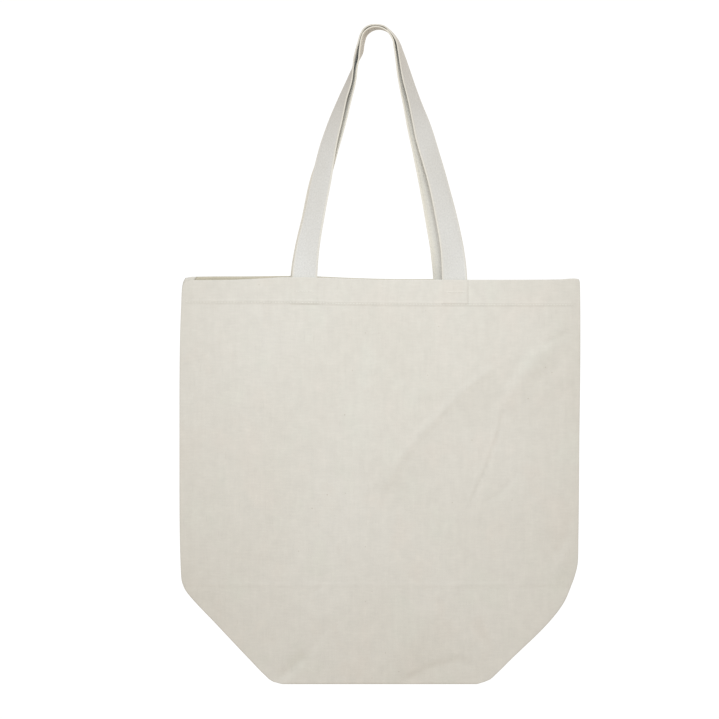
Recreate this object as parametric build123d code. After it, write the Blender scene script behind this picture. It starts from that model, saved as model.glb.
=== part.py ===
from build123d import *
import math
import os

# Canvas tote bag with a boxed base, hanging folded flat by both handles over a peg.
# Millimetres. +X to the right, +Z up, the front faces -Y. The origin is the peg's centre,
# on the axis of the handles' arches.

# Driving dimensions
bag_width = 400.0
peg_to_mouth = 236.0
bag_height = 405.5
base_depth = 192.0
front_y = 12.0
seam_edge_y = 2.05
cloth = 1.0
hem_height = 25.0
hem_thickness = 1.4
seam_allowance = 12.0
seam_thickness = 1.5
running_gap = 0.3
thread = 0.4

strap_width = 25.4
strap_thickness = 2.0
peg_arch_radius = 13.0
strap_nest_gap = 1.0
leg_slope_deg = 16.2
leg_knee_below_peg = 130.0
twist_power = 1.35
leg_sections = 11
front_feet_x = (-74.7, 75.7)
back_feet_x = (-76.5, 67.5)

# Derived heights and widths
half_width = bag_width / 2
mouth_z = -peg_to_mouth
bottom_z = mouth_z - bag_height
fold_height = base_depth / 2
ridge_z = bottom_z + fold_height
base_half_width = half_width - fold_height
hem_y = front_y - cloth
strap_y = hem_y - hem_thickness - strap_thickness / 2
foot_z = mouth_z + 0.5
sides = {"left": -1, "right": 1}
faces = {"front": -1, "back": 1}


def block(x_range, y_range, z_range):
    """A box from three pairs of limits."""
    size = [high - low for low, high in (x_range, y_range, z_range)]
    middle = [(low + high) / 2 for low, high in (x_range, y_range, z_range)]
    return Pos(*middle) * Box(*size)


def ordered(a, b):
    return (min(a, b), max(a, b))


def lens_y(x, y_middle, y_edge):
    """Distance from the bag's middle plane: flat across the base, then in to the side seam."""
    share = max(0.0, (abs(x) - base_half_width) / (half_width - base_half_width))
    return y_middle + (y_edge - y_middle) * share


def lens_wall(face, z_low, z_high, y_outer, thickness, x_end=half_width):
    """An upright wall that follows the bag's plan, flat in the middle and slanted at the sides."""
    knots = (-x_end, -base_half_width, base_half_width, x_end)
    y_edge = y_outer - (front_y - seam_edge_y)
    outer = [(x, face * lens_y(x, y_outer, y_edge)) for x in knots]
    inner = [(x, face * (lens_y(x, y_outer, y_edge) - thickness)) for x in reversed(knots)]
    plan = make_face(Polyline(*outer, *inner, close=True))
    return extrude(Plane.XY.offset(z_low) * plan, amount=z_high - z_low)


def upright_prism(points):
    """A prism along Y, through the whole bag, with an outline given as (x, z) points."""
    return extrude(Plane.XZ * make_face(Polyline(*points, close=True)), amount=30, both=True)


def panel(face):
    """Outer panel: the flat bag's outline, with 45 degree creases up from the base corners."""
    outline = upright_prism([
        (-half_width, mouth_z),
        (half_width, mouth_z),
        (half_width, ridge_z),
        (base_half_width, bottom_z),
        (-base_half_width, bottom_z),
        (-half_width, ridge_z),
    ])
    return lens_wall(face, bottom_z, mouth_z, front_y, cloth) & outline


def base_fold(face):
    """Half of the base and its gussets, tucked up between the panels to the base seam."""
    low_z = bottom_z + 1.2
    high_z = ridge_z - 0.5
    low_y = front_y - cloth - running_gap
    high_y = 1.9
    slab = Polyline(
        (face * low_y, low_z),
        (face * high_y, high_z),
        (face * (high_y - cloth), high_z),
        (face * (low_y - cloth), low_z),
        close=True,
    )
    slab = extrude(Plane.YZ * make_face(slab), amount=half_width, both=True)
    low_x = base_half_width
    high_x = half_width - seam_allowance - 2
    gusset = upright_prism([(-low_x, low_z), (low_x, low_z), (high_x, high_z), (-high_x, high_z)])
    return slab & gusset


def corner_seam(face, side):
    """Half of a boxed corner's seam, on the fold's inner face, along the end of the base."""
    low_z = bottom_z + 20
    high_z = ridge_z - 6
    slope = (front_y - cloth - running_gap - 1.9) / (fold_height - 1.7)
    skin = front_y - cloth - running_gap + slope * 1.2

    def on_fold(z):
        return face * (skin - slope * (z - bottom_z))

    strip = Polyline(
        (on_fold(low_z), low_z),
        (on_fold(low_z) + face * 0.9, low_z),
        (on_fold(high_z) + face * 0.9, high_z),
        (on_fold(high_z), high_z),
        close=True,
    )
    inner_x = side * (base_half_width - seam_allowance)
    outer_x = side * base_half_width
    return extrude(Plane.YZ.offset(inner_x) * make_face(strip), amount=outer_x - inner_x)


def hem(face):
    """The mouth's turned-in hem, two layers deep, against the panel's inner face."""
    return lens_wall(face, mouth_z - hem_height, mouth_z, hem_y, hem_thickness, half_width - seam_allowance - 2)


def hem_stitching(face):
    """The row of thread that holds the hem, standing on the panel's outer face."""
    low_z = mouth_z - hem_height + 1.5
    return lens_wall(face, low_z, low_z + thread, front_y + thread, thread)


def side_seam(side):
    """Side seam allowance, between the two panels, from the mouth to the tuck."""
    x_range = ordered(side * (half_width - seam_allowance), side * half_width)
    y_range = (-seam_thickness / 2, seam_thickness / 2)
    return block(x_range, y_range, (ridge_z + 0.5, mouth_z))


def base_strip(x_range):
    """Seam allowance that stands up from the top of the tucked base."""
    return block(x_range, (0.9, 1.9), (ridge_z - 0.5, ridge_z + seam_allowance - 2))


def seam_tuck(side):
    """The side seam's lowest part, which the fold turns in along the top of the tuck."""
    return base_strip(ordered(side * (base_half_width + 0.5), side * (half_width - seam_allowance - 4)))


def strap_end(face, foot_x):
    """The end of a handle, sewn flat inside the hem."""
    y_range = ordered(face * (strap_y - strap_thickness / 2), face * (strap_y + strap_thickness / 2))
    x_range = (foot_x - strap_width / 2, foot_x + strap_width / 2)
    return block(x_range, y_range, (mouth_z - hem_height + 1, mouth_z))


def strap_tack(face, foot_x):
    """Stitches that hold a strap end: a rectangle with a cross, on the strap's inner face."""
    reach_x = strap_width / 2 - 3
    low_z = mouth_z - hem_height + 4
    high_z = mouth_z - 4
    corners = [(-reach_x, low_z), (reach_x, low_z), (reach_x, high_z), (-reach_x, high_z)]
    runs = [(corners[i], corners[(i + 1) % 4]) for i in range(4)]
    runs += [(corners[0], corners[2]), (corners[1], corners[3])]
    inner_face = strap_y - strap_thickness / 2
    plane = Plane.XZ.offset(-face * (inner_face - thread / 2))
    rows = [stitch_row((foot_x + a[0], a[1]), (foot_x + b[0], b[1])) for a, b in runs]
    return extrude(plane * (rows[0] + rows[1:]), amount=thread / 2, both=True)


def stitch_row(start, end):
    """A thread's outline from one (x, z) point to another."""
    run = Vector(*end) - Vector(*start)
    middle = (Vector(*start) + Vector(*end)) / 2
    turn = math.degrees(math.atan2(run.Y, run.X))
    return Pos(middle.X, middle.Y) * Rot(0, 0, turn) * Rectangle(run.length + thread, thread)


def leg_line(face, arch_radius, foot_x, share):
    """(place, direction, twist in degrees) of a handle leg, share 0 at the arch and 1 at the foot."""
    slope = math.tan(math.radians(leg_slope_deg))
    side = math.copysign(1, foot_x)
    top_x = arch_radius * math.cos(math.radians(leg_slope_deg))
    top_z = arch_radius * math.sin(math.radians(leg_slope_deg))
    z = top_z + (foot_z - top_z) * share
    knee_x = top_x + slope * (top_z + leg_knee_below_peg)
    bend = -leg_knee_below_peg - foot_z
    foot_slope = 2 * (abs(foot_x) - knee_x) / bend - slope
    below_knee = max(0.0, -leg_knee_below_peg - z)
    x = top_x + slope * (top_z - z) - (slope - foot_slope) * below_knee**2 / (2 * bend)
    local_slope = slope - (slope - foot_slope) * below_knee / bend
    if share == 1:
        local_slope = 0.0
    twist = 90 * (1 - share) ** twist_power
    place = Vector(side * x, face * strap_y * share**2, z)
    return place, Vector(-side * local_slope, 0, 1).normalized(), twist


def leg_section(face, arch_radius, foot_x, share):
    """The strap's cross-section on a leg: its inner edge turns forward on the way up."""
    place, along, twist = leg_line(face, arch_radius, foot_x, share)
    side = math.copysign(1, foot_x)
    turn = math.radians(twist)
    across = Vector(side * math.cos(turn), math.sin(turn), 0)
    across = (across - along * across.dot(along)).normalized()
    return Plane(place, x_dir=across, z_dir=along) * Rectangle(strap_width, strap_thickness)


def handle(face, arch_radius, feet_x):
    """A strap from foot to foot: twisted legs and an arch that rests on the peg."""
    shares = [i / (leg_sections - 1) for i in range(leg_sections)]
    legs = [
        loft([leg_section(face, arch_radius, foot_x, share) for share in shares], ruled=True)
        for foot_x in feet_x
    ]
    outer = arch_radius + strap_thickness / 2
    inner = arch_radius - strap_thickness / 2
    ring = Circle(outer) - Circle(inner)
    reach = 2 * outer
    drop = reach * math.tan(math.radians(leg_slope_deg))
    over_legs = make_face(Polyline((0, 0), (reach, drop), (reach, reach), (-reach, reach), (-reach, drop), close=True))
    arch = extrude(Plane.XZ * (ring & over_legs), amount=strap_width / 2, both=True)
    return arch + legs


def write(name, shape):
    export_step(shape, f"parts/{name}.step")


os.makedirs("parts", exist_ok=True)

back_arch = peg_arch_radius + strap_thickness / 2
arches = {"back": back_arch, "front": back_arch + strap_thickness + strap_nest_gap}
feet = {"front": front_feet_x, "back": back_feet_x}

for face_name, face in faces.items():
    write(f"{face_name}_panel", panel(face))
    write(f"{face_name}_base_fold", base_fold(face))
    write(f"{face_name}_hem", hem(face))
    write(f"{face_name}_hem_stitching", hem_stitching(face))
    write(f"{face_name}_handle", handle(face, arches[face_name], feet[face_name]))
    for (side_name, side), foot_x in zip(sides.items(), feet[face_name]):
        write(f"{face_name}_{side_name}_corner_seam", corner_seam(face, side))
        write(f"{face_name}_{side_name}_strap_end", strap_end(face, foot_x))
        write(f"{face_name}_{side_name}_strap_tack", strap_tack(face, foot_x))

for side_name, side in sides.items():
    write(f"{side_name}_side_seam", side_seam(side))
    write(f"{side_name}_seam_tuck", seam_tuck(side))

write("base_seam", base_strip((-base_half_width, base_half_width)))
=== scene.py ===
import math

import bmesh
import bpy
import numpy as np
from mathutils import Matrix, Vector, noise


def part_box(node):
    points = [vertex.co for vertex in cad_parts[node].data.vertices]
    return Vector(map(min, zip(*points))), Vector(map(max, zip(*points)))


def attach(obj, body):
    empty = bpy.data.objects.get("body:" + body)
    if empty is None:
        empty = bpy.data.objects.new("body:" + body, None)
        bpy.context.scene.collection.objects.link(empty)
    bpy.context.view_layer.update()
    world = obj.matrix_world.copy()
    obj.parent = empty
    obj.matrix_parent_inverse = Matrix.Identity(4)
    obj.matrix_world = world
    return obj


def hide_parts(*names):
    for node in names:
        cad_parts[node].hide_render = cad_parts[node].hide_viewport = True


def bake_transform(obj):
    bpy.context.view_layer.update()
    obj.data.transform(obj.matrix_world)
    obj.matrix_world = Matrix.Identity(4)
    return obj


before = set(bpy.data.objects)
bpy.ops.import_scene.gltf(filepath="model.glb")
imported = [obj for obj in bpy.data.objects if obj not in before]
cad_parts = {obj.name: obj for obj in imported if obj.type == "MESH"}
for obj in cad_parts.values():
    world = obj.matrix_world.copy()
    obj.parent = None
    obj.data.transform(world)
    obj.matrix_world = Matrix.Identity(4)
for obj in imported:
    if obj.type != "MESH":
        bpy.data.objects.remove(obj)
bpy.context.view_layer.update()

# Canvas tote bag, hanging folded flat by both handles. The row frame: metres, +Z up, the front
# faces -Y, the origin is the centre of the peg under the handles' arches.
# Sizes below are in metres unless a name says otherwise. MM turns a size in millimetres into metres.
MM = 0.001

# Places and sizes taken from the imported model
panel_low, panel_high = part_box("front_panel")
HALF_WIDTH = panel_high.x
MOUTH_Z = panel_high.z
BOTTOM_Z = panel_low.z
RIDGE_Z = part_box("left_side_seam")[0].z - 0.5 * MM
HEM_HEIGHT = MOUTH_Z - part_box("front_hem")[0].z
STITCH_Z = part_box("front_hem_stitching")[0].z
SEAM_ALLOWANCE = HALF_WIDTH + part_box("left_side_seam")[1].x
BASE_HALF_WIDTH = HALF_WIDTH - (RIDGE_Z - BOTTOM_Z)
STRAP_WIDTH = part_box("front_left_strap_end")[1].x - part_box("front_left_strap_end")[0].x
STRAP_LOW_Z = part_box("front_left_strap_end")[0].z
ARCH_TOP_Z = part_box("front_handle")[1].z

# Cloth and thread
CLOTH = 0.75 * MM
HEM_THICKNESS = 1.5 * MM
STRAP_THICKNESS = 1.6 * MM
THREAD = 0.45 * MM
STITCH_LENGTH = 2.3 * MM
STITCH_WIDTH = 0.85 * MM
BULGE = 11.3 * MM
EDGE_Y = 0.5 * MM
CREASE_RADIUS = 0.5 * MM
FACES = {"front": -1, "back": 1}
SIDES = {"left": -1, "right": 1}
FEET = {
    name: {s: sum(v.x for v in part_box(f"{name}_{s}_strap_end")) / 2 for s in SIDES}
    for name in FACES
}


# ---------------------------------------------------------------- camera, light and stage

CAMERA_DISTANCE = 3.0
VIEW_WIDTH = 0.719
VIEW_CENTRE = Vector((-19.5 * MM, 0, -317.2 * MM))
FRONT_Y = -12 * MM


def add_camera():
    data = bpy.data.cameras.new("camera")
    data.sensor_width = 36
    data.lens = data.sensor_width * CAMERA_DISTANCE / VIEW_WIDTH
    camera = bpy.data.objects.new("camera", data)
    camera.location = VIEW_CENTRE + Vector((0, FRONT_Y - CAMERA_DISTANCE, 0))
    camera.rotation_euler = (math.radians(90), 0, 0)
    bpy.context.scene.collection.objects.link(camera)
    bpy.context.scene.camera = camera


def add_softbox(name, place, target, size, power, color, spread):
    data = bpy.data.lights.new(name, "AREA")
    data.spread = math.radians(spread)
    data.shape = "RECTANGLE"
    data.size, data.size_y = size
    data.energy = power
    data.color = color
    lamp = bpy.data.objects.new(name, data)
    lamp.location = place
    aim = Vector(target) - Vector(place)
    lamp.rotation_euler = aim.to_track_quat("-Z", "Y").to_euler()
    bpy.context.scene.collection.objects.link(lamp)


BACKGROUND_STRENGTH = 1.05
FILL_COLOR = (1.0, 0.905, 0.80, 1)
FILL_STRENGTH = 0.575
FLOOR_COLOR = (0.86, 0.87, 0.88, 1)
FLOOR_DROP = 0.42
FLOOR_HALF = 2.0
FLOOR_FADE_START = 0.7


def add_world():
    """White surroundings: pure white where the camera sees them, dimmer as a light on the cloth."""
    world = bpy.data.worlds.new("studio")
    bpy.context.scene.world = world
    world.use_nodes = True
    nodes, links = world.node_tree.nodes, world.node_tree.links
    nodes.clear()
    seen = nodes.new("ShaderNodeBackground")
    seen.inputs["Color"].default_value = (1, 1, 1, 1)
    seen.inputs["Strength"].default_value = BACKGROUND_STRENGTH
    fill = nodes.new("ShaderNodeBackground")
    fill.inputs["Color"].default_value = FILL_COLOR
    fill.inputs["Strength"].default_value = FILL_STRENGTH
    path = nodes.new("ShaderNodeLightPath")
    mix = nodes.new("ShaderNodeMixShader")
    out = nodes.new("ShaderNodeOutputWorld")
    links.new(path.outputs["Is Camera Ray"], mix.inputs["Fac"])
    links.new(fill.outputs[0], mix.inputs[1])
    links.new(seen.outputs[0], mix.inputs[2])
    links.new(mix.outputs[0], out.inputs["Surface"])


def add_floor():
    """A plain pale floor below the hanging bag, which fades into the white surroundings."""
    half = FLOOR_HALF
    data = bpy.data.meshes.new("floor")
    z = BOTTOM_Z - FLOOR_DROP
    corners = [(-half, -half, z), (half, -half, z), (half, half, z), (-half, half, z)]
    data.from_pydata(corners, [], [(0, 1, 2, 3)])
    floor = bpy.data.objects.new("floor", data)
    bpy.context.scene.collection.objects.link(floor)
    material = bpy.data.materials.new("floor_paint")
    material.use_nodes = True
    nodes, links = material.node_tree.nodes, material.node_tree.links
    shader = nodes["Principled BSDF"]
    shader.inputs["Base Color"].default_value = FLOOR_COLOR
    shader.inputs["Roughness"].default_value = 0.8
    place = nodes.new("ShaderNodeNewGeometry")
    distance = nodes.new("ShaderNodeVectorMath")
    distance.operation = "DISTANCE"
    distance.inputs[1].default_value = (0, 0, z)
    links.new(place.outputs["Position"], distance.inputs[0])
    fade = nodes.new("ShaderNodeMapRange")
    fade.interpolation_type = "SMOOTHSTEP"
    fade.inputs["From Min"].default_value = FLOOR_FADE_START
    fade.inputs["From Max"].default_value = half
    links.new(distance.outputs["Value"], fade.inputs["Value"])
    clear = nodes.new("ShaderNodeBsdfTransparent")
    mix = nodes.new("ShaderNodeMixShader")
    links.new(fade.outputs["Result"], mix.inputs["Fac"])
    links.new(shader.outputs[0], mix.inputs[1])
    links.new(clear.outputs[0], mix.inputs[2])
    links.new(mix.outputs[0], nodes["Material Output"].inputs["Surface"])
    data.materials.append(material)


bpy.context.scene.view_settings.view_transform = "Standard"
add_camera()
add_world()
add_floor()
add_softbox("key", (-0.03, -1.05, 0.25), (0.01, 0, -0.37), (0.5, 0.4), 1.86, (0.81, 0.90, 1.0), 80)
add_softbox("back", (0.55, 1.3, 0.45), (0.0, 0, -0.33), (0.5, 0.5), 2.4, (1.0, 0.95, 0.88), 100)


# ---------------------------------------------------------------- materials


class Nodes:
    """Short helper for building one material's node tree."""

    def __init__(self, name):
        self.material = bpy.data.materials.new(name)
        self.material.use_nodes = True
        self.tree = self.material.node_tree
        self.shader = self.tree.nodes["Principled BSDF"]

    def add(self, kind, **values):
        node = self.tree.nodes.new(kind)
        for key, value in values.items():
            if key in node.inputs:
                node.inputs[key].default_value = value
            else:
                setattr(node, key, value)
        return node

    def link(self, source, target):
        self.tree.links.new(source, target)

    def cloth_uv(self, scale, turn=0.0):
        """The cloth's own coordinates in metres, scaled and turned about the face."""
        uv = self.add("ShaderNodeUVMap", uv_map="cloth")
        mapping = self.add("ShaderNodeMapping")
        mapping.inputs["Scale"].default_value = scale
        mapping.inputs["Rotation"].default_value = (0, 0, turn)
        self.link(uv.outputs["UV"], mapping.inputs["Vector"])
        return mapping.outputs["Vector"]

    def noise(self, vector, scale=1.0, detail=2.0, roughness=0.5):
        node = self.add("ShaderNodeTexNoise", Scale=scale, Detail=detail, Roughness=roughness)
        self.link(vector, node.inputs["Vector"])
        return node.outputs["Fac"]

    def ramp(self, value, low, high, start=0.0, end=1.0):
        node = self.add("ShaderNodeMapRange", clamp=True)
        node.inputs["From Min"].default_value = low
        node.inputs["From Max"].default_value = high
        node.inputs["To Min"].default_value = start
        node.inputs["To Max"].default_value = end
        self.link(value, node.inputs["Value"])
        return node.outputs["Result"]

    def math(self, kind, a, b):
        node = self.add("ShaderNodeMath", operation=kind)
        for i, value in enumerate((a, b)):
            if isinstance(value, (int, float)):
                node.inputs[i].default_value = value
            else:
                self.link(value, node.inputs[i])
        return node.outputs[0]

    def mix(self, fac, a, b, kind="MIX"):
        node = self.add("ShaderNodeMix", data_type="RGBA", blend_type=kind)
        for socket, value in ((node.inputs[0], fac), (node.inputs[6], a), (node.inputs[7], b)):
            if isinstance(value, (int, float)):
                socket.default_value = value
            elif isinstance(value, tuple):
                socket.default_value = (*value, 1)
            else:
                self.link(value, socket)
        return node.outputs[2]

    def bump(self, height, distance, strength, under=None):
        node = self.add("ShaderNodeBump", Strength=strength, Distance=distance)
        self.link(height, node.inputs["Height"])
        if under is not None:
            self.link(under, node.inputs["Normal"])
        return node.outputs["Normal"]

    def finish(self, color, normal, roughness, sheen):
        self.link(color, self.shader.inputs["Base Color"])
        self.link(normal, self.shader.inputs["Normal"])
        self.shader.inputs["Roughness"].default_value = roughness
        self.shader.inputs["Sheen Weight"].default_value = sheen
        self.shader.inputs["Sheen Roughness"].default_value = 0.6
        self.shader.inputs["Specular IOR Level"].default_value = 0.25
        return self.material


def weave_height(nodes, pitch_x, pitch_y):
    """Crossed rows of thread, over and under, with an uneven thread thickness."""
    vector = nodes.cloth_uv((1, 1, 1))
    wobble = nodes.noise(nodes.cloth_uv((260, 260, 1)), detail=1.0)
    split = nodes.add("ShaderNodeSeparateXYZ")
    nodes.link(vector, split.inputs[0])
    waves = []
    for axis, pitch in ((0, pitch_x), (1, pitch_y)):
        phase = nodes.math("MULTIPLY", split.outputs[axis], 2 * math.pi / pitch)
        phase = nodes.math("ADD", phase, nodes.math("MULTIPLY", wobble, 2.2))
        waves.append(nodes.math("SINE", phase, 0.0))
    return nodes.math("MULTIPLY", waves[0], waves[1])


# Seed flecks: cells per metre, how rare a fleck is (share of empty cells), strength.
FLECKS = (((150, 120, 1), 0.935, 0.42), ((60, 48, 1), 0.88, 0.65))
FLECK_RADIUS = 0.6 * MM
FLECK_COLOR = (0.33, 0.27, 0.18)
WEAVE_PITCH = (0.82 * MM, 0.94 * MM)


def canvas_material(name, base, shade):
    """Unbleached plain-weave cotton: slubs along both yarns, seed flecks, broad tone changes."""
    n = Nodes(name)
    broad = n.noise(n.cloth_uv((6, 5, 1)), detail=2.0)
    tint = n.noise(n.cloth_uv((21, 15, 1)), detail=3.0, roughness=0.6)
    warp = n.noise(n.cloth_uv((260, 30, 1)), detail=3.0, roughness=0.6)
    weft = n.noise(n.cloth_uv((110, 520, 1)), detail=2.0, roughness=0.5)
    blotch = n.noise(n.cloth_uv((95, 80, 1)), detail=4.0, roughness=0.6)
    grain = n.noise(n.cloth_uv((640, 700, 1)), detail=2.0, roughness=0.6)
    color = n.mix(n.ramp(broad, 0.36, 0.66), base, shade)
    pinker = tuple(c * k for c, k in zip(base, (1.004, 0.985, 0.975)))
    greener = tuple(c * k for c, k in zip(base, (0.985, 0.998, 0.985)))
    color = n.mix(n.ramp(tint, 0.54, 0.66, 0.0, 0.8), color, pinker)
    color = n.mix(n.ramp(tint, 0.34, 0.46, 0.8, 0.0), color, greener)
    warp_tone = n.ramp(warp, 0.30, 0.72, 0.982, 1.014)
    weft_tone = n.ramp(weft, 0.30, 0.72, 0.982, 1.013)
    tone = n.math("MULTIPLY", warp_tone, weft_tone)
    tone = n.math("MULTIPLY", tone, n.ramp(blotch, 0.32, 0.68, 0.972, 1.022))
    tone = n.math("MULTIPLY", tone, n.ramp(grain, 0.3, 0.7, 0.991, 1.007))
    grey = n.add("ShaderNodeCombineColor")
    for socket in grey.inputs[:3]:
        n.link(tone, socket)
    color = n.mix(1.0, color, grey.outputs[0], "MULTIPLY")
    slub = n.ramp(n.noise(n.cloth_uv((420, 60, 1)), detail=1.0), 0.70, 0.80, 0.0, 0.35)
    color = n.mix(slub, color, tuple(0.88 * c for c in shade))
    for cells, rarity, strength in FLECKS:
        flecks = n.add("ShaderNodeTexVoronoi", feature="F1", Scale=1.0, Randomness=1.0)
        n.link(n.cloth_uv(cells), flecks.inputs["Vector"])
        pick = n.add("ShaderNodeSeparateColor")
        n.link(flecks.outputs["Color"], pick.inputs[0])
        rare = n.ramp(pick.outputs[0], rarity, rarity + 0.01)
        size = FLECK_RADIUS * cells[0]
        spot = n.ramp(flecks.outputs["Distance"], 0.3 * size, size, strength, 0.0)
        color = n.mix(n.math("MULTIPLY", rare, spot), color, FLECK_COLOR)
    threads = weave_height(n, *WEAVE_PITCH)
    normal = n.bump(threads, 0.06 * MM, 0.30)
    normal = n.bump(warp, 0.22 * MM, 0.40, normal)
    normal = n.bump(weft, 0.18 * MM, 0.35, normal)
    return n.finish(color, normal, 0.92, 0.10)


RIB_PITCH = 1.7 * MM


def twill_material(name, base, shade, edge, painted_light_start):
    """The handle's cotton strap: fine diagonal ribs, speckled, and a lighter cream towards its edges that
    is painted light, lifting the shade where one strap's edge shows beside the other.
    """
    n = Nodes(name)
    vector = n.cloth_uv((1, 1, 1))
    split = n.add("ShaderNodeSeparateXYZ")
    n.link(vector, split.inputs[0])
    wobble = n.noise(n.cloth_uv((300, 220, 1)), detail=2.0)
    diagonal = n.math("ADD", split.outputs[0], split.outputs[1])
    phase = n.math("MULTIPLY", diagonal, 2 * math.pi / RIB_PITCH)
    rib = n.math("SINE", n.math("ADD", phase, n.math("MULTIPLY", wobble, 4.0)), 0.0)
    broad = n.noise(n.cloth_uv((30, 14, 1)), detail=3.0)
    grain = n.noise(n.cloth_uv((700, 500, 1)), detail=2.0)
    color = n.mix(n.ramp(broad, 0.34, 0.68), base, shade)
    from_middle = n.math("ABSOLUTE", split.outputs[0], 0.0)
    # Painted light: a lighter cream from the given share of the width out to each edge, standing in for
    # light on strap strips that lie in the other strap's shade.
    color = n.mix(n.ramp(from_middle, painted_light_start * STRAP_WIDTH, 0.5 * STRAP_WIDTH), color, edge)
    rib_tone = n.ramp(rib, -1.0, 1.0, 0.965, 1.012)
    grain_tone = n.ramp(grain, 0.3, 0.7, 0.935, 1.045)
    tone = n.math("MULTIPLY", rib_tone, grain_tone)
    grey = n.add("ShaderNodeCombineColor")
    for socket in grey.inputs[:3]:
        n.link(tone, socket)
    color = n.mix(1.0, color, grey.outputs[0], "MULTIPLY")
    normal = n.bump(rib, 0.10 * MM, 0.5)
    normal = n.bump(grain, 0.25 * MM, 0.4, normal)
    return n.finish(color, normal, 0.9, 0.12)


def thread_material(name, base):
    """Spun sewing thread: a soft twist along each stitch."""
    n = Nodes(name)
    twist = n.noise(n.cloth_uv((1900, 1500, 1), 0.6), detail=2.0)
    color = n.mix(n.ramp(twist, 0.35, 0.7), base, tuple(0.86 * c for c in base))
    return n.finish(color, n.bump(twist, 0.12 * MM, 0.5), 0.8, 0.1)


STRAP_WHITE = (0.765, 0.76, 0.73)
STRAP_SHADE = (0.735, 0.725, 0.685)
MATERIALS = {
    "canvas": canvas_material("natural_canvas", (0.754, 0.731, 0.668), (0.728, 0.701, 0.631)),
    # Painted shade: the inside of the same canvas, coloured darker and browner to stand in for the shade
    # inside the bag, for the hem band and the corner allowances.
    "canvas_painted_shade": canvas_material("natural_canvas_painted_shade", (0.65, 0.605, 0.485), (0.61, 0.565, 0.435)),
    # The edge colours are painted light. The back strap, shaded behind the front one, gets a wider and
    # lighter painted band.
    "front_webbing": twill_material("cotton_strap", STRAP_WHITE, STRAP_SHADE, (0.82, 0.785, 0.70), 0.40),
    "back_webbing": twill_material("cotton_strap_back", STRAP_WHITE, STRAP_SHADE, (0.89, 0.85, 0.75), 0.12),
    "sewing_thread": thread_material("sewing_thread", (0.90, 0.885, 0.82)),
}


# ---------------------------------------------------------------- mesh helpers


def smooth(value):
    value = np.clip(value, 0.0, 1.0)
    return value * value * (3 - 2 * value)


def curve_through(points, at):
    """A smooth curve through (place, value) points, with no overshoot."""
    place, value = np.array(points, float).T
    slope = np.diff(value) / np.diff(place)
    tangent = np.concatenate([slope[:1], (slope[:-1] + slope[1:]) / 2, slope[-1:]])
    tangent[1:-1][slope[:-1] * slope[1:] <= 0] = 0
    limit = 3 * np.minimum(np.abs(slope[:-1]), np.abs(slope[1:]))
    tangent[1:-1] = np.clip(tangent[1:-1], -limit, limit)
    at = np.clip(at, place[0], place[-1])
    i = np.clip(np.searchsorted(place, at) - 1, 0, len(slope) - 1)
    width = place[i + 1] - place[i]
    t = (at - place[i]) / width
    return (
        (1 + 2 * t) * (1 - t) ** 2 * value[i]
        + t * (1 - t) ** 2 * width * tangent[i]
        + t**2 * (3 - 2 * t) * value[i + 1]
        + t**2 * (t - 1) * width * tangent[i + 1]
    )


def make_piece(name, points, faces, uvs, material):
    """A smooth-shaded mesh object, with one UV per point, in metres of cloth."""
    data = bpy.data.meshes.new(name)
    data.from_pydata([tuple(p) for p in points], [], faces)
    data.polygons.foreach_set("use_smooth", [True] * len(data.polygons))
    layer = data.uv_layers.new(name="cloth")
    loop_points = np.zeros(len(data.loops), int)
    data.loops.foreach_get("vertex_index", loop_points)
    layer.data.foreach_set("uv", np.array(uvs, float)[loop_points].ravel())
    data.materials.append(MATERIALS[material])
    piece = bpy.data.objects.new(name, data)
    bpy.context.scene.collection.objects.link(piece)
    return piece


def grid_faces(rows, columns, first=0, flip=False):
    """Quads of a grid of points stored row by row."""
    faces = []
    for i in range(rows - 1):
        for j in range(columns - 1):
            a = first + i * columns + j
            quad = (a, a + 1, a + 1 + columns, a + columns)
            faces.append(quad[::-1] if flip else quad)
    return faces


def merge_close(piece):
    """Joins the sheets of a piece where their edges coincide."""
    mesh = bmesh.new()
    mesh.from_mesh(piece.data)
    bmesh.ops.remove_doubles(mesh, verts=mesh.verts, dist=0.02 * MM)
    mesh.to_mesh(piece.data)
    mesh.free()


def thicken(piece, inner, outer):
    """Solid cloth from inner to outer, measured along the surface's normal."""
    modifier = piece.modifiers.new("cloth_thickness", "SOLIDIFY")
    modifier.thickness = outer - inner
    modifier.offset = 2 * outer / (outer - inner) - 1
    modifier.use_rim = True
    return modifier


def steps(low, high, step):
    """Evenly spaced values from low to high, about step apart."""
    return list(np.linspace(low, high, max(2, round((high - low) / step) + 1)))


# ---------------------------------------------------------------- the bag's cloth

# Half width of the flat bag, in mm, against the drop below the mouth, in mm: the front's view.
LEFT_EDGE = [
    (0, 194), (3, 196.5), (25, 198.2), (120, 200), (200, 200), (296, 198.5), (306, 197),
    (313, 193.5), (320, 188.0), (345, 164.0), (382, 128.5), (398, 112.5), (403, 106), (405.5, 97),
]
RIGHT_EDGE = [
    (0, 200.5), (3, 201.5), (60, 202), (160, 201), (262, 200), (284, 199.5), (298, 196.5),
    (310, 192), (326, 184.5), (345, 169.5), (382, 131), (396, 116.5), (402, 109), (405.5, 98),
]
# Height of each mouth edge above the mouth's level, in mm, against x, in mm.
MOUTH_EDGE = {
    "front": [
        (-197, -3.4), (-190, -1.6), (-150, -1.4), (-117, 0.0), (-94, 1.2), (-62, 0.9), (-24, -0.4),
        (0, -1.2), (90, -1.4), (180, -0.9), (196, 0.1), (202, -1.0),
    ],
    "back": [
        (-197, -0.6), (-191, 1.4), (-184, 2.0), (-129, 2.6), (-89, 3.0), (-62, 2.5), (-24, 0.9),
        (20, -0.1), (60, -0.1), (90, -1.6), (202, -2.0),
    ],
}
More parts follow.
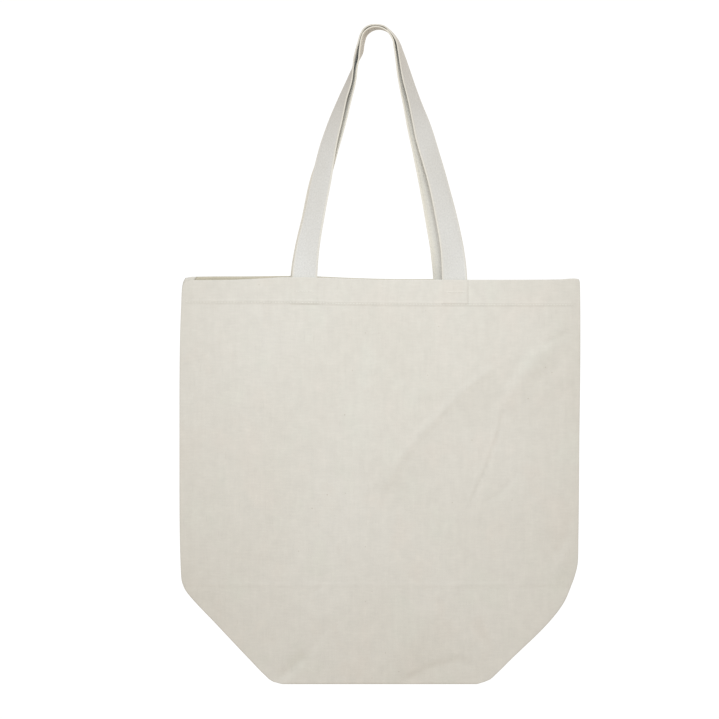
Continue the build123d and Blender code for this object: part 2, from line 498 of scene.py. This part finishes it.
# Height of the hem's row of stitches above the model's, in mm, against x, in mm.
STITCH_LINE = {
    "front": [(-200, -0.3), (-90, -0.5), (-40, -1.7), (20, -2.5), (200, -3.0)],
    "back": [(-200, -0.6), (-60, -1.4), (60, -0.8), (200, -1.8)],
}


def stitch_height(name, x):
    return STITCH_Z + curve_through(STITCH_LINE[name], x / MM) * MM


def half_width(side, z):
    edge = LEFT_EDGE if side < 0 else RIGHT_EDGE
    return curve_through(edge, (MOUTH_Z - z) / MM) * MM


def crease_line(x, z, points, height, widths, fade=12):
    """A ridge along (x, z) points in mm, softer at its ends, with a width for each of its sides."""
    total = np.zeros_like(x)
    left_width, right_width = widths if isinstance(widths, tuple) else (widths, widths)
    places = [np.array(p, float) * MM for p in points]
    lengths = [np.linalg.norm(b - a) for a, b in zip(places, places[1:])]
    whole = sum(lengths)
    run = 0.0
    for a, b, length in zip(places, places[1:], lengths):
        d = (b - a) / length
        along = np.clip((x - a[0]) * d[0] + (z - a[1]) * d[1], 0, length)
        off = np.hypot(x - a[0] - along * d[0], z - a[1] - along * d[1])
        on_left = d[0] * (z - a[1]) - d[1] * (x - a[0])
        width = right_width + (left_width - right_width) * smooth(on_left / (1 * MM) + 0.5)
        ends = smooth((run + along) / (fade * MM)) * smooth((whole - run - along) / (fade * MM))
        total = np.maximum(total, np.exp(-((off / (width * MM)) ** 2)) * (0.15 + 0.85 * ends))
        run += length
    return total * height * MM


# Creases pressed into each panel: points (x, z) in mm, height and reach in mm (or the reaches to
# the left and right of the line), and how gradually a long one fades at its ends.
CREASES = {
    "front": [
        ([(190, -300), (150, -308), (104, -332), (61, -370), (24, -412), (0, -458)], 2.4, (26, 46), 40),
        ([(118, -322), (84, -350), (61, -371), (40, -393), (22, -416), (2, -450)], 0.95, 4.6),
        ([(112, -330), (95, -343), (80, -356), (62, -378)], -0.30, 1.8),
        ([(188, -303), (164, -310), (149, -328), (136, -347), (122, -374)], 2.3, (15, 8), 34),
        ([(201, -318), (182, -333), (158, -352), (136, -378)], 0.9, (12, 9), 26),
        ([(88.5, -264), (88.5, -300), (87, -350)], 0.32, (2.0, 14), 30),
        ([(122, -364), (118, -385), (104, -426), (88, -462)], 0.55, 2.2),
        ([(125, -364), (121.5, -387), (107, -428), (91, -462)], -0.70, 1.6),
        ([(142, -426), (122, -451), (100, -463)], -0.45, 1.8),
        ([(198, -468), (188, -496), (177, -520)], -1.3, 6.0),
        ([(195, -500), (184, -516), (178, -545)], 1.3, 7.0),
        ([(-104, -641), (-89, -630), (-70, -611)], -2.8, (7, 4)),
        ([(-78, -620), (-62, -600), (-44, -576)], -0.8, (9, 5)),
        ([(-49, -538), (-64, -549), (-80, -562)], -0.45, 3.5),
        ([(20, -641), (50, -626), (80, -618), (97, -627)], -1.2, (4, 9)),
        ([(60, -560), (30, -600), (8, -636)], 0.6, 16),
        ([(-187, -310), (-187, -545)], 0.40, (5, 2.5)),
        ([(188, -330), (187, -460)], 0.25, (2.5, 5)),
        ([(-150, -300), (-128, -420), (-140, -520)], 0.5, 22),
        ([(-70, -300), (-50, -470)], 0.35, 20),
    ],
    "back": [
        ([(-150, -306), (-96, -340), (-50, -392), (-22, -450)], 1.9, (40, 24), 40),
        ([(-122, -330), (-66, -372), (-30, -424), (-18, -460)], 0.8, 6.0),
        ([(-128, -372), (-108, -432), (-90, -470)], -0.50, 3.0),
        ([(95, -310), (122, -402), (116, -480)], 0.7, (14, 9)),
        ([(30, -520), (88, -486), (130, -470)], 0.55, 6.0),
        ([(104, -636), (84, -618)], -1.0, 6.0),
        ([(-60, -634), (-92, -618)], -0.8, 5.5),
    ],
}


# How far the cloth stands out over the layers and threads behind it
HEM_STEP = 0.50 * MM
PUCKER_HEIGHT = 0.22 * MM
STITCH_PULL = 0.20 * MM
STRAP_STEP = 0.65 * MM
STRAP_GROOVE = 0.55 * MM
RIDGE_MARK = 0.40 * MM
ALLOWANCE_Y = 0.42 * MM


def wander(x, z, size, seed, stretch=1.0):
    """Smooth noise from -1 to 1 over the cloth, size in mm."""
    scale = 1 / (size * MM)
    return np.array([
        noise.noise(Vector((a * scale, b * scale / stretch, seed)))
        for a, b in zip(x.ravel(), z.ravel())
    ]).reshape(x.shape)


def relief(name, x, z, share):
    """How far the panel stands out of its smooth shape, in metres: hem, straps, creases, slack."""
    seed = 3.7 if name == "front" else 11.3
    out = np.zeros_like(x)
    for crease in CREASES[name]:
        out += crease_line(x, z, *crease)
    slack = 1.1 * wander(x, z, 120, seed) + 0.40 * wander(x, z, 46, seed + 5, 1.6)
    slack += 0.13 * wander(x, z, 17, seed + 9, 2.2)
    below_hem = smooth((STITCH_Z - z) / (30 * MM))
    out += slack * MM * (0.35 + 0.65 * below_hem) * (1 - share**6)
    above_stitch = z - stitch_height(name, x)
    out += HEM_STEP * smooth((above_stitch + 2.2 * MM) / (1.8 * MM))
    out += PUCKER_HEIGHT * np.exp(-(((above_stitch - 1.6 * MM) / (1.0 * MM)) ** 2))
    out -= STITCH_PULL * np.exp(-((above_stitch / (0.7 * MM)) ** 2))
    for foot in FEET[name].values():
        reach = STRAP_WIDTH / 2 + 0.6 * MM
        softness = np.where((x - foot) * FACES[name] < 0, 1.0 * MM, 5.0 * MM)
        over = smooth((reach - np.abs(x - foot)) / softness + 0.5)
        over *= smooth((z - STRAP_LOW_Z + 3 * MM) / (3 * MM))
        out += STRAP_STEP * over
        beside = x - foot + FACES[name] * (reach + 0.7 * MM)
        upright = smooth((z - STRAP_LOW_Z + 3 * MM) / (2 * MM)) * smooth((MOUTH_Z - 5 * MM - z) / (3 * MM))
        groove = np.exp(-((beside / (0.8 * MM)) ** 2)) * upright * (foot * FACES[name] < 0)
        out -= STRAP_GROOVE * groove
    pressed = np.exp(-(((z - RIDGE_Z - 3.0 * MM) / (2.4 * MM)) ** 2))
    out += RIDGE_MARK * pressed * (0.55 + 0.45 * wander(x, z, 60, seed + 13))
    return out * (1 - share**14)


def crease_depth(z):
    """Distance of the folded edge from the middle plane: the fold opens from the ridge to the bottom."""
    share = np.clip((RIDGE_Z - z) / (RIDGE_Z - BOTTOM_Z), 0, 1)
    return EDGE_Y + (BULGE - EDGE_Y) * share


def turn_in(distance):
    """Roundness of a folded edge, 0 on the edge and 1 past its radius."""
    share = np.clip(distance / (2 * CREASE_RADIUS), 0, 1)
    return np.sqrt(1 - (1 - share) ** 2)


def panel_depth(name, x, z):
    """Distance of the outer panel's middle surface from the bag's middle plane."""
    widths = np.where(x < 0, half_width(-1, z), half_width(1, z))
    share = np.clip(np.abs(x) / widths, 0, 1)
    edge = crease_depth(z)
    to_edge = np.minimum((1 - share) * widths, z - BOTTOM_Z)
    shape = edge + CREASE_RADIUS * turn_in(to_edge) + (BULGE - edge) * (1 - share**3)
    return shape + relief(name, x, z, share) * turn_in(to_edge)


def fold_depth(name, x, z):
    """The same for the tucked-in fold, which a crease in the panel presses inwards."""
    widths = np.where(x < 0, half_width(-1, z), half_width(1, z))
    to_edge = np.maximum(np.minimum(widths - np.abs(x), z - BOTTOM_Z), 0)
    smooth_fold = crease_depth(z) - CREASE_RADIUS * turn_in(to_edge)
    behind_panel = panel_depth(name, x, z) - 2 * CREASE_RADIUS * turn_in(to_edge)
    return np.minimum(smooth_fold, behind_panel)


def mouth_rise(name, x):
    return curve_through(MOUTH_EDGE[name], x / MM) * MM


def sheet_columns(name):
    """Shares of the half width, from the left edge to the right, close together at the edges."""
    close = [d * MM / HALF_WIDTH for d in (0, 0.15, 0.5, 1.0, 2.2, 4.0)]
    middle = steps(-1 + 6.2 * MM / HALF_WIDTH, 1 - 6.2 * MM / HALF_WIDTH, 2.3 * MM / HALF_WIDTH)
    reach = STRAP_WIDTH / 2 + 1 * MM
    strap_edges = [foot + turn * reach for foot in FEET[name].values() for turn in (-1, 1)]
    extra = [(edge + d * MM) / HALF_WIDTH for edge in strap_edges for d in (-1.6, -0.8, 0, 0.8, 1.6)]
    middle = [c for c in middle if min(abs(c - e) for e in extra) > 0.5 * MM / HALF_WIDTH]
    return [-1 + c for c in close] + sorted(middle + extra) + [1 - c for c in reversed(close)]


def fold_rows():
    near = [BOTTOM_Z + d * MM for d in (0, 0.15, 0.5, 1.0, 2.2)]
    middle = steps(BOTTOM_Z + 4.5 * MM, RIDGE_Z - 8 * MM, 2.5 * MM)
    return near + middle + steps(RIDGE_Z - 6 * MM, RIDGE_Z, 1.2 * MM)


def panel_rows():
    above = steps(RIDGE_Z + 1.2 * MM, RIDGE_Z + 8 * MM, 1.2 * MM)
    field = steps(RIDGE_Z + 10 * MM, STITCH_Z - 9 * MM, 2.5 * MM)
    hem = steps(STITCH_Z - 7.5 * MM, STITCH_Z + 3 * MM, 0.5 * MM)
    top = steps(STITCH_Z + 4.5 * MM, MOUTH_Z - 1 * MM, 2 * MM) + [MOUTH_Z]
    return fold_rows() + above + field + hem + top


def raise_to_mouth(name, x, z):
    """Stretches the top of the panel to the mouth's uneven edge."""
    share = smooth((z - STITCH_Z - 2 * MM) / (MOUTH_Z - STITCH_Z - 2 * MM))
    return z + mouth_rise(name, x) * share


def panel_points(name, rows, shares):
    """(x, y, z) arrays of the outer panel's middle surface."""
    face = FACES[name]
    share, z = np.meshgrid(shares, rows)
    x = np.where(share < 0, share * half_width(-1, z), share * half_width(1, z))
    y = face * panel_depth(name, x, z)
    return x, y, raise_to_mouth(name, x, z)


def add_cloth(name):
    """One panel of the bag: its outer face, its side allowances and the fold tucked up inside."""
    face = FACES[name]
    shares = sheet_columns(name)
    rows = panel_rows()
    sheets = [panel_points(name, rows, shares)]
    uv_drop = [sheets[0][2]]

    tuck_rows = fold_rows()
    share, z = np.meshgrid(shares, tuck_rows)
    x = np.where(share < 0, share * half_width(-1, z), share * half_width(1, z))
    sheets.append((x, face * fold_depth(name, x, z), z))
    uv_drop.append(2 * BOTTOM_Z - z)

    standing = [RIDGE_Z + d * MM for d in (0, 0.8, 3, 6, 9.5)]
    share, z = np.meshgrid(shares, standing)
    width = np.where(z > RIDGE_Z, HALF_WIDTH - SEAM_ALLOWANCE - 2 * MM, half_width(1, z))
    width = np.where((z <= RIDGE_Z) & (share < 0), half_width(-1, z), width)
    depth = np.where(z > RIDGE_Z, ALLOWANCE_Y, fold_depth(name, share * width, z))
    sheets.append((share * width, face * depth, z))
    uv_drop.append(2 * BOTTOM_Z - z)

    for side in SIDES.values():
        inward = [d * MM for d in (0, 0.8, 3, 6, 9, 11.5)]
        tall = [r for r in rows if r >= RIDGE_Z]
        d, z = np.meshgrid(inward, tall)
        x = side * (half_width(side, z) - d)
        edge_depth = panel_depth(name, side * half_width(side, z), z)
        depth = np.where(d > 0, ALLOWANCE_Y, edge_depth)
        sheets.append((x, face * depth, raise_to_mouth(name, x, z)))
        uv_drop.append(z)

    points, uvs, faces = [], [], []
    for number, ((x, y, z), drop) in enumerate(zip(sheets, uv_drop)):
        turned = (number in (1, 2, 4)) != (face > 0)
        faces += grid_faces(*x.shape, first=len(points), flip=turned)
        points += list(np.stack([x, y, z], -1).reshape(-1, 3))
        uvs += list(np.stack([x, drop - MOUTH_Z], -1).reshape(-1, 2))
    piece = make_piece(f"{name}_cloth", points, faces, uvs, "canvas")
    merge_close(piece)
    thicken(piece, -CLOTH / 2, CLOTH / 2)
    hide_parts(f"{name}_panel", f"{name}_base_fold")
    follow_opening(piece)
    return piece


def follow_opening(piece):
    """Bakes the piece's transform into its mesh; the cloth does not move with a panel."""
    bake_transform(piece)


def add_hem(name):
    """The turned-in hem: two more layers against the inside of the panel's top."""
    face = FACES[name]
    rows = steps(MOUTH_Z - HEM_HEIGHT - 1.5 * MM, STITCH_Z + 4 * MM, 1 * MM)
    rows += steps(STITCH_Z + 6 * MM, MOUTH_Z, 2 * MM)
    shares = steps(-0.962, 0.962, 2.4 * MM / HALF_WIDTH)
    x, y, z = panel_points(name, rows, shares)
    z = np.minimum(z, MOUTH_Z + mouth_rise(name, x) - 0.15 * MM)
    points = list(np.stack([x, y, z], -1).reshape(-1, 3))
    uvs = list(np.stack([x, z - MOUTH_Z], -1).reshape(-1, 2))
    faces = grid_faces(*x.shape, flip=face > 0)
    # The hem band's canvas is painted darker and browner as shade; it is the same cloth as the panel.
    piece = make_piece(f"{name}_hem_band", points, faces, uvs, "canvas_painted_shade")
    thicken(piece, -CLOTH / 2 - HEM_THICKNESS, -CLOTH / 2)
    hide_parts(f"{name}_hem")
    follow_opening(piece)
    return piece


def stitch_strip(path, width, pitch, length):
    """Quads for a row of stitches along a path of (x, z) points: (x, z) arrays and faces."""
    places = np.array(path, float)
    runs = np.linalg.norm(np.diff(places, axis=0), axis=1)
    along = np.concatenate([[0], np.cumsum(runs)])
    starts = np.arange(pitch / 2, along[-1] - length, pitch)
    cuts, half_widths = (0.0, 0.18, 0.5, 0.82, 1.0), (0.45, 0.9, 1.0, 0.9, 0.45)
    xz, faces = [], []
    for start in starts:
        first = len(xz)
        for cut, share in zip(cuts, half_widths):
            at = start + cut * length
            middle = np.array([np.interp(at, along, places[:, k]) for k in range(2)])
            ahead = np.array([np.interp(at + 0.1 * MM, along, places[:, k]) for k in range(2)])
            behind = np.array([np.interp(at - 0.1 * MM, along, places[:, k]) for k in range(2)])
            d = (ahead - behind) / max(np.linalg.norm(ahead - behind), 1e-9)
            across = np.array([-d[1], d[0]]) * width / 2 * share
            xz += [middle - across, middle + across]
        for k in range(len(cuts) - 1):
            a = first + 2 * k
            faces.append((a, a + 2, a + 3, a + 1))
    return np.array(xz), faces


def thread_rows(name, paths, depth, outside, pitch, length, width):
    """Points, faces and UVs for rows of stitches on a skin at depth(x, z) from the middle plane."""
    face = FACES[name]
    points, uvs, faces = [], [], []
    for path in paths:
        xz, quads = stitch_strip(path, width, pitch, length)
        y = face * depth(xz[:, 0], xz[:, 1])
        first = len(points)
        points += list(np.stack([xz[:, 0], y, raise_to_mouth(name, xz[:, 0], xz[:, 1])], -1))
        uvs += list(xz)
        turned = (face > 0) == outside
        faces += [tuple(first + i for i in (quad[::-1] if turned else quad)) for quad in quads]
    return points, faces, uvs


def add_stitches(name, piece_name, node, outer_paths, inner_paths=(), pitch=3.0 * MM):
    """Rows of thread on the panel's outer face, and on the inner face of a strap end."""
    def on_panel(x, z):
        return panel_depth(name, x, z) + CLOTH / 2

    def on_strap(x, z):
        return strap_depth(name, x) - STRAP_THICKNESS / 2

    outer = thread_rows(name, outer_paths, on_panel, True, pitch, STITCH_LENGTH, STITCH_WIDTH)
    inner = thread_rows(name, inner_paths, on_strap, False, pitch, STITCH_LENGTH, STITCH_WIDTH)
    first = len(outer[0])
    points = outer[0] + inner[0]
    faces = outer[1] + [tuple(first + i for i in face) for face in inner[1]]
    uvs = outer[2] + inner[2]
    piece = make_piece(piece_name, points, faces, uvs, "sewing_thread")
    thicken(piece, -0.08 * MM, THREAD)
    rounder = piece.modifiers.new("rounder", "SUBSURF")
    rounder.levels = rounder.render_levels = 1
    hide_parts(node)
    follow_opening(piece)
    return piece


def strap_depth(name, x):
    """Distance from the middle plane to the middle of a strap end that lies against the hem."""
    foot = min(FEET[name].values(), key=lambda place: abs(place - np.mean(x)))
    here = panel_depth(name, np.array([foot]), np.array([MOUTH_Z - HEM_HEIGHT / 2]))[0]
    return np.full(np.shape(x), here - CLOTH / 2 - HEM_THICKNESS - STRAP_THICKNESS / 2 - 0.2 * MM)


def hem_stitch_path(name):
    reach = HALF_WIDTH - 4 * MM
    return [(x, stitch_height(name, np.array([x]))[0]) for x in steps(-reach, reach, 4 * MM)]


def outer_tack(foot):
    """A row of stitches across the strap end, seen faintly on the outside."""
    reach = STRAP_WIDTH / 2 - 2.5 * MM
    height = MOUTH_Z - 13.5 * MM
    return [[(foot - reach, height), (foot + reach, height)]]


def inner_tack(foot):
    """A rectangle with a cross, on the strap's inner face."""
    reach = STRAP_WIDTH / 2 - 3 * MM
    low = MOUTH_Z - HEM_HEIGHT + 4 * MM
    high = MOUTH_Z - 4 * MM
    corners = [(foot - reach, low), (foot + reach, low), (foot + reach, high), (foot - reach, high)]
    sides = [[corners[k], corners[(k + 1) % 4]] for k in range(4)]
    return sides + [[corners[0], corners[2]], [corners[1], corners[3]]]


soft_parts = {}
for face_name in FACES:
    cloth = add_cloth(face_name)
    hem_thread = add_stitches(
        face_name, f"{face_name}_hem_thread", f"{face_name}_hem_stitching", [hem_stitch_path(face_name)],
    )
    trims = [add_hem(face_name), hem_thread]
    for side_name in SIDES:
        foot = FEET[face_name][side_name]
        trims.append(add_stitches(
            face_name,
            f"{face_name}_{side_name}_tack_thread",
            f"{face_name}_{side_name}_strap_tack",
            outer_tack(foot),
            inner_tack(foot),
            pitch=2.7 * MM,
        ))
    soft_parts[face_name] = (cloth, trims)


# ---------------------------------------------------------------- seams inside the bag


def add_overlock(piece_name, path, inward, body, nodes):
    """Overlock thread wrapped over a seam allowance's raw edge, in the bag's middle plane."""
    places = np.array(path, float)
    runs = np.linalg.norm(np.diff(places, axis=0), axis=1)
    along = np.concatenate([[0], np.cumsum(runs)])
    reach = 5.5 * MM
    pitch = 2.6 * MM
    half = 0.3 * MM
    inward = np.array(inward, float)
    d = (places[-1] - places[0]) / np.linalg.norm(places[-1] - places[0])
    points, faces = [], []
    wraps = int(along[-1] / pitch)
    for k in range(wraps):
        base = np.array([np.interp((k + 0.5) * pitch, along, places[:, i]) for i in range(2)])
        for lean in (0.0, 0.5):
            foot = base + d * pitch * lean
            tip = base + d * pitch * (0.5 - lean) + inward * reach
            first = len(points)
            for y in (-0.95 * MM, 0.95 * MM):
                for place in (foot - inward * 0.3 * MM, tip):
                    points += [(*(place - d * half), y), (*(place + d * half), y)]
            a = first
            faces += [(a, a + 1, a + 3, a + 2), (a + 4, a + 6, a + 7, a + 5), (a, a + 4, a + 5, a + 1)]
    points = [(x, y, z) for x, z, y in points]
    uvs = [(x, z) for x, _, z in points]
    piece = make_piece(piece_name, points, faces, uvs, "sewing_thread")
    modifier = piece.modifiers.new("thread_thickness", "SOLIDIFY")
    modifier.thickness = THREAD
    modifier.offset = 0
    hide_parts(*nodes)
    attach(piece, body)
    return piece


SEAM_TOP_Z = MOUTH_Z - 3 * MM
TUCK_TOP_Z = RIDGE_Z + 9.5 * MM
for side_name, side in SIDES.items():
    raw_edge = side * (half_width(side, np.array([RIDGE_Z + 60 * MM]))[0] - SEAM_ALLOWANCE + 0.5 * MM)
    add_overlock(
        f"{side_name}_side_seam_overlock",
        [(raw_edge, RIDGE_Z + 12 * MM), (raw_edge, SEAM_TOP_Z)],
        (side, 0),
        "root",
        [f"{side_name}_side_seam"],
    )
    add_overlock(
        f"{side_name}_seam_tuck_overlock",
        [(side * (BASE_HALF_WIDTH + 1 * MM), TUCK_TOP_Z), (side * (HALF_WIDTH - 16 * MM), TUCK_TOP_Z)],
        (0, -1),
        "root",
        [f"{side_name}_seam_tuck"],
    )
add_overlock(
    "base_seam_overlock",
    [(-BASE_HALF_WIDTH, TUCK_TOP_Z), (BASE_HALF_WIDTH, TUCK_TOP_Z)],
    (0, -1),
    "root",
    ["base_seam"],
)


def add_corner_seam(name, side_name):
    """The boxed corner's allowance, flat on the fold's face inside the bag, where there is room for it."""
    face, side = FACES[name], SIDES[side_name]
    rows = steps(BOTTOM_Z + 24 * MM, RIDGE_Z - 6 * MM, 2.5 * MM)
    columns = [side * (BASE_HALF_WIDTH - d * MM) for d in (0, 0.6, 3, 6, 9, 11.4, 12)]
    x, z = np.meshgrid(columns, rows)
    y = face * fold_depth(name, x, z)
    points = list(np.stack([x, y, z], -1).reshape(-1, 3))
    uvs = list(np.stack([x, z], -1).reshape(-1, 2))
    faces = grid_faces(*x.shape, flip=(side > 0) != (face > 0))
    piece_name = f"{name}_{side_name}_corner_allowance"
    # The allowance's canvas is painted darker and browner as shade; it is the same cloth as the panel.
    piece = make_piece(piece_name, points, faces, uvs, "canvas_painted_shade")
    thicken(piece, CLOTH / 2, CLOTH / 2 + 0.9 * MM)
    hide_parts(f"{name}_{side_name}_corner_seam")
    follow_opening(piece)
    return piece


for face_name in FACES:
    for side_name in SIDES:
        soft_parts[face_name][1].append(add_corner_seam(face_name, side_name))


# ---------------------------------------------------------------- handles

# Each strap's middle line from its left foot over the peg to its right foot: x and z in mm, and how
# far its width has turned, in degrees: 0 is flat with the left foot's hem and 180 with the right's.
STRAP_PATH = {
    "front": [
        (-74.7, -260, 0), (-74.6, -236, 4), (-71.8, -208, 20), (-65.7, -177, 33),
        (-57.8, -137, 37), (-49.2, -97, 50), (-43.3, -77, 57), (-37.0, -57, 68), (-29.7, -37, 77),
        (-26.3, -25, 88), (-23.6, -17, 98), (-21.3, -8, 99), (-19.4, -1, 98), (-16.8, 7.5, 98),
        (-13.9, 12.9, 98), (-9.6, 16.2, 98), (-2, 17.6, 98), (6.5, 16.2, 98), (13.8, 9.8, 98),
        (19.2, 1.2, 99), (21.6, -7, 102), (24.2, -17.5, 108), (29.4, -37.5, 116),
        (35.5, -57.5, 122), (41.5, -77.5, 133), (47, -97.5, 142), (58.6, -137.5, 143),
        (67.9, -177.5, 152), (73.4, -208, 160), (75.6, -236, 176), (75.7, -260, 180),
    ],
    "back": [
        (-76.5, -260, 0), (-76.4, -236, 3), (-73.2, -208, 20), (-67.3, -177, 32),
        (-59.0, -137, 36), (-46.0, -97, 50), (-39.2, -77, 57), (-32.3, -57, 68), (-26.3, -37, 75),
        (-23.9, -25, 80), (-20.7, -17, 88), (-17.6, -6, 98), (-16.6, 1.5, 98), (-13.4, 10.2, 98),
        (-6.5, 14.9, 98), (-1.2, 15.7, 98), (4, 14.8, 98), (9.8, 11.5, 98), (15.0, 4.4, 98),
        (17.6, -5, 101), (20.5, -17.5, 107), (24.7, -37.5, 115), (29.7, -57.5, 120),
        (35.5, -77.5, 132), (41, -97.5, 140), (49.7, -137.5, 143), (58, -177.5, 152),
        (63.8, -208, 160), (67.4, -236, 176), (67.5, -260, 180),
    ],
}


def spline_through(values, knots, at):
    """A rounded curve through values given at knots, as a list of points."""
    values = np.array(values, float)
    tangent = np.gradient(values, knots, axis=0)
    i = np.clip(np.searchsorted(knots, at) - 1, 0, len(knots) - 2)
    width = (knots[i + 1] - knots[i])[:, None]
    t = (np.asarray(at) - knots[i])[:, None] / width
    return (
        (1 + 2 * t) * (1 - t) ** 2 * values[i]
        + t * (1 - t) ** 2 * width * tangent[i]
        + t**2 * (3 - 2 * t) * values[i + 1]
        + t**2 * (t - 1) * width * tangent[i + 1]
    )


def strap_frames(name):
    """(middle, across, outward) along the strap, from the left foot over the arch to the right foot."""
    path = np.array(STRAP_PATH[name], float)
    knots = np.concatenate([[0], np.cumsum(np.hypot(*np.diff(path[:, :2], axis=0).T))])
    at = np.array(steps(0, knots[-1], 2.4))
    xz = spline_through(path[:, :2], knots, at) * MM
    turn = np.radians(curve_through(list(zip(knots, path[:, 2])), at))
    middles = []
    for x, z in xz:
        share = min(1.0, max(0.0, (ARCH_TOP_Z - z) / (ARCH_TOP_Z - MOUTH_Z)))
        depth = strap_depth(name, np.array([math.copysign(76 * MM, x)]))[0]
        middles.append(Vector((x, FACES[name] * depth * share**1.4, z)))
    frames = []
    for k, middle in enumerate(middles):
        ahead = middles[min(k + 1, len(middles) - 1)] - middles[max(k - 1, 0)]
        along = ahead.normalized()
        across = Vector((math.cos(turn[k]), -math.sin(turn[k]), 0))
        across = (across - along * across.dot(along)).normalized()
        frames.append((middle, across, across.cross(along)))
    return frames


def strap_profile():
    """(across, thickness) points round the strap's section, with a stitched groove near each edge."""
    half, thick = STRAP_WIDTH / 2, STRAP_THICKNESS / 2
    top = [
        (-half, 0.15), (-half + 0.25 * MM, 0.62), (-half + 0.8 * MM, 0.92), (-half + 1.6 * MM, 1.0),
        (-half + 2.3 * MM, 0.84), (-half + 3.1 * MM, 1.0), (-half + 6 * MM, 1.05), (0, 1.08),
    ]
    top += [(-x, share) for x, share in reversed(top[:-1])]
    section = [(x, share * thick) for x, share in top]
    return section + [(x, -share * thick) for x, share in reversed(top)]


def add_handle(name):
    """One strap, sewn end to sewn end, that rests over the peg. Returns the piece and its length."""
    rings = strap_frames(name)
    section = strap_profile()
    points, uvs, faces = [], [], []
    run = 0.0
    seed = 2.0 if name == "front" else 7.0
    for k, (middle, across, outward) in enumerate(rings):
        if k:
            run += (middle - rings[k - 1][0]).length
        for offset, height in section:
            wave = 0.14 * MM * noise.noise(Vector((run * 60, offset * 90, seed)))
            points.append(middle + across * offset + outward * (height + wave))
            uvs.append((offset, run))
    count = len(section)
    for k in range(len(rings) - 1):
        for j in range(count):
            a, b = k * count + j, k * count + (j + 1) % count
            faces.append((a, b, b + count, a + count))
    faces.append(tuple(reversed(range(count))))
    faces.append(tuple(range((len(rings) - 1) * count, len(rings) * count)))
    piece = make_piece(f"{name}_strap_cloth", points, faces, uvs, f"{name}_webbing")
    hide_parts(f"{name}_handle", *[f"{name}_{s}_strap_end" for s in SIDES])
    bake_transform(piece)
    return piece, run


for face_name in FACES:
    handle, strap_length = add_handle(face_name)
